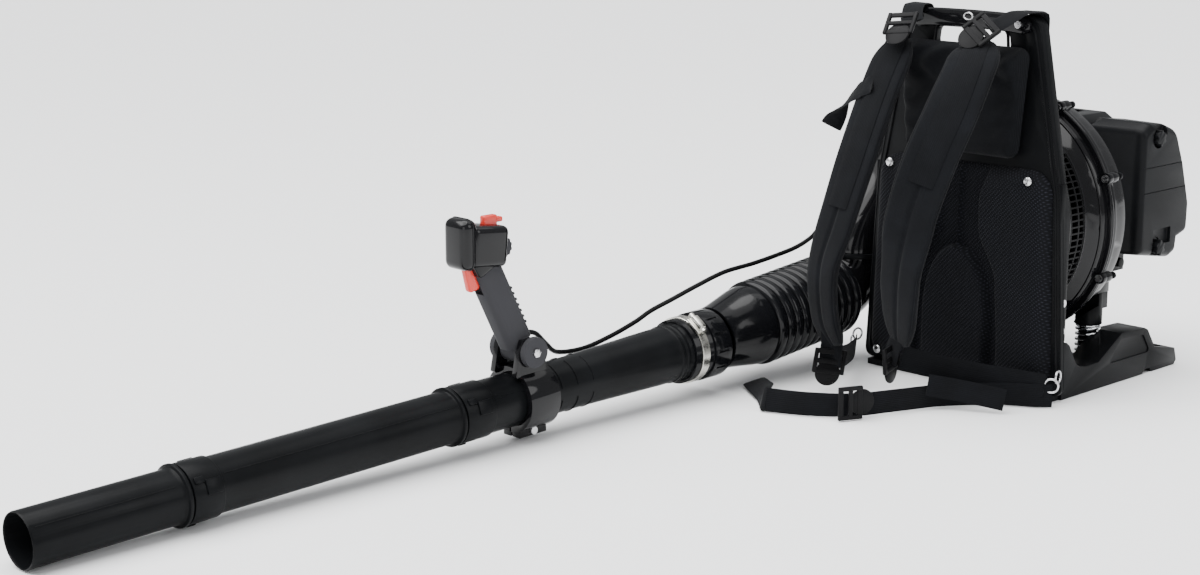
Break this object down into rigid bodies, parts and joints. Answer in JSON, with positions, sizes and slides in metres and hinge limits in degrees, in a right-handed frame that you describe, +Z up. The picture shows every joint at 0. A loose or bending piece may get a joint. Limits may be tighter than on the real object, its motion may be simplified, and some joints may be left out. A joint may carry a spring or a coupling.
{
  "type": "backpack leaf blower",
  "caption": "Petrol backpack leaf blower on a sprung back frame, with padded harness, ribbed hose, swinging blow tube and pistol handle with trigger.",
  "frame": {"origin": "on the floor under the middle of the back frame's front face, on the underside of the base plate", "axes": "+Z up; +Y from the wearer's back towards the engine, so the blow tube runs towards -Y; +X the wearer's right-hand side where the air filter stands"},
  "size_m": [0.4482, 1.642, 0.5115],
  "materials": {
    "frame_plastic": "satin moulded black",
    "gloss_plastic": "glossy moulded black",
    "grille_plastic": "satin black",
    "cover_plastic": "satin black with a light sheen",
    "bellows_rubber": "smooth glossy black",
    "pipe_plastic": "matt charcoal",
    "screw_steel": "bright steel",
    "spring_steel": "bright plated",
    "zinc_steel": "zinc plated",
    "cast_alloy": "as cast",
    "plug_ceramic": "white insulator",
    "coil_plastic": "potted black",
    "primer_rubber": "amber bulb",
    "filter_foam": "open foam",
    "rope_fibre": "braided",
    "tank_plastic": "translucent white shell",
    "grip_rubber": "soft black",
    "signal_red": "bright red",
    "pad_fabric": "dark air mesh over foam",
    "webbing_fabric": "woven black webbing",
    "buckle_plastic": "satin black"
  },
  "bodies": {
    "root": {"back_frame": "frame_plastic", "frame_base": "frame_plastic", "frame_screws": "screw_steel", "carry_handle": "gloss_plastic", "isolator_springs": "spring_steel", "isolator_mounts": "frame_plastic", "volute_front": "gloss_plastic", "volute_rear": "gloss_plastic", "inlet_grille": "grille_plastic", "volute_screws": "screw_steel", "outlet_duct": "gloss_plastic", "elbow": "gloss_plastic", "elbow_clamp": "frame_plastic", "bellows_rear": "bellows_rubber", "crankcase": "cast_alloy", "cylinder": "cast_alloy", "piston": "screw_steel", "spark_plug": "plug_ceramic", "ignition_coil": "coil_plastic", "muffler": "screw_steel", "carburetor": "cast_alloy", "air_filter_base": "cover_plastic", "air_filter_element": "filter_foam", "starter_housing": "frame_plastic", "fuel_tank": "tank_plastic", "engine_cover": "frame_plastic", "throttle_cable_rear": "grip_rubber", "back_pad": "pad_fabric", "yoke_pad": "pad_fabric", "shoulder_straps": "pad_fabric", "webbing": "webbing_fabric", "ladder_locks": "buckle_plastic", "strap_hooks": "screw_steel"},
    "filter_cover": {"air_filter_cover": "cover_plastic"},
    "knob_upper": {"cover_knob_upper": "cover_plastic"},
    "knob_lower": {"cover_knob_lower": "cover_plastic"},
    "crank": {"crankshaft": "screw_steel", "flywheel": "cast_alloy", "impeller": "pipe_plastic"},
    "starter": {"starter_grip": "frame_plastic", "starter_rope": "rope_fibre"},
    "fuel_lid": {"fuel_cap": "frame_plastic"},
    "primer": {"primer_bulb": "primer_rubber"},
    "choke": {"choke_lever": "frame_plastic"},
    "hose": {"bellows_mid": "bellows_rubber"},
    "tube": {"bellows_front": "bellows_rubber", "clamp_collar": "frame_plastic", "bellows_clamp": "zinc_steel", "throttle_cable_mid": "grip_rubber"},
    "pipe": {"swivel_pipe": "pipe_plastic", "middle_pipe": "pipe_plastic", "nozzle": "pipe_plastic", "handle_clamp": "gloss_plastic", "clamp_screw": "screw_steel", "throttle_cable_front": "grip_rubber"},
    "handle": {"grip": "grip_rubber", "throttle_housing": "gloss_plastic"},
    "trigger_lever": {"trigger": "signal_red"},
    "cruise": {"cruise_lever": "frame_plastic"},
    "stop": {"stop_switch": "signal_red"}
  },
  "joints": [
    {"name": "filter_cover_off", "type": "slide", "parent": "root", "child": "filter_cover", "axis": [1, 0, 0], "range_m": [0, 0.08]},
    {"name": "knob_upper_turn", "type": "hinge", "parent": "filter_cover", "child": "knob_upper", "pos_m": [0.1354, 0.242, 0.326], "axis": [1, 0, 0], "range_deg": [0, 180]},
    {"name": "knob_lower_turn", "type": "hinge", "parent": "filter_cover", "child": "knob_lower", "pos_m": [0.1354, 0.254, 0.172], "axis": [1, 0, 0], "range_deg": [0, 180]},
    {"name": "crank_spin", "type": "hinge", "parent": "root", "child": "crank", "pos_m": [0, 0.2, 0.225], "axis": [0, 1, 0], "continuous": true},
    {"name": "starter_pull", "type": "slide", "parent": "root", "child": "starter", "axis": [0, 1, 0], "range_m": [0, 0.045], "stiffness_N_per_m": 60, "springref_m": -0.05},
    {"name": "fuel_cap_turn", "type": "hinge", "parent": "root", "child": "fuel_lid", "pos_m": [-0.112, 0.202, 0.17], "axis": [0, 0, 1], "range_deg": [0, 180]},
    {"name": "primer_press", "type": "slide", "parent": "root", "child": "primer", "axis": [0, 1, 0], "range_m": [0, 0.004], "stiffness_N_per_m": 400, "springref_m": -0.0005},
    {"name": "choke_turn", "type": "hinge", "parent": "root", "child": "choke", "pos_m": [0.059, 0.2213, 0.297], "axis": [0, 1, 0], "range_deg": [-35, 0]},
    {"name": "tube_yaw", "type": "hinge", "parent": "root", "child": "hose", "pos_m": [-0.21, -0.0857, 0.0877], "axis": [0, 0, 1], "range_deg": [-30, 8], "deforming": ["bellows_rear", "bellows_mid", "throttle_cable_rear"]},
    {"name": "tube_pitch", "type": "hinge", "parent": "hose", "child": "tube", "pos_m": [-0.21, -0.1335, 0.0829], "axis": [-1, 0, 0], "range_deg": [0, 30], "deforming": ["bellows_front", "throttle_cable_mid"]},
    {"name": "pipe_twist", "type": "hinge", "parent": "tube", "child": "pipe", "pos_m": [-0.21, -0.328, 0.064], "axis": [0, -0.9995, -0.0321], "range_deg": [-40, 40]},
    {"name": "handle_tilt", "type": "hinge", "parent": "pipe", "child": "handle", "pos_m": [-0.21, -0.62, 0.116], "axis": [1, 0, 0], "range_deg": [-25, 35], "deforming": ["throttle_cable_front"]},
    {"name": "trigger_squeeze", "type": "hinge", "parent": "handle", "child": "trigger_lever", "pos_m": [-0.21, -0.684, 0.24], "axis": [1, 0, 0], "range_deg": [0, 12], "stiffness_Nm_per_rad": 0.6, "springref_deg": -5.73},
    {"name": "cruise_turn", "type": "hinge", "parent": "handle", "child": "cruise", "pos_m": [-0.21, -0.656, 0.25], "axis": [1, 0, 0], "range_deg": [0, 60]},
    {"name": "stop_flick", "type": "hinge", "parent": "handle", "child": "stop", "pos_m": [-0.21, -0.674, 0.274], "axis": [1, 0, 0], "range_deg": [0, 25]}
  ]
}
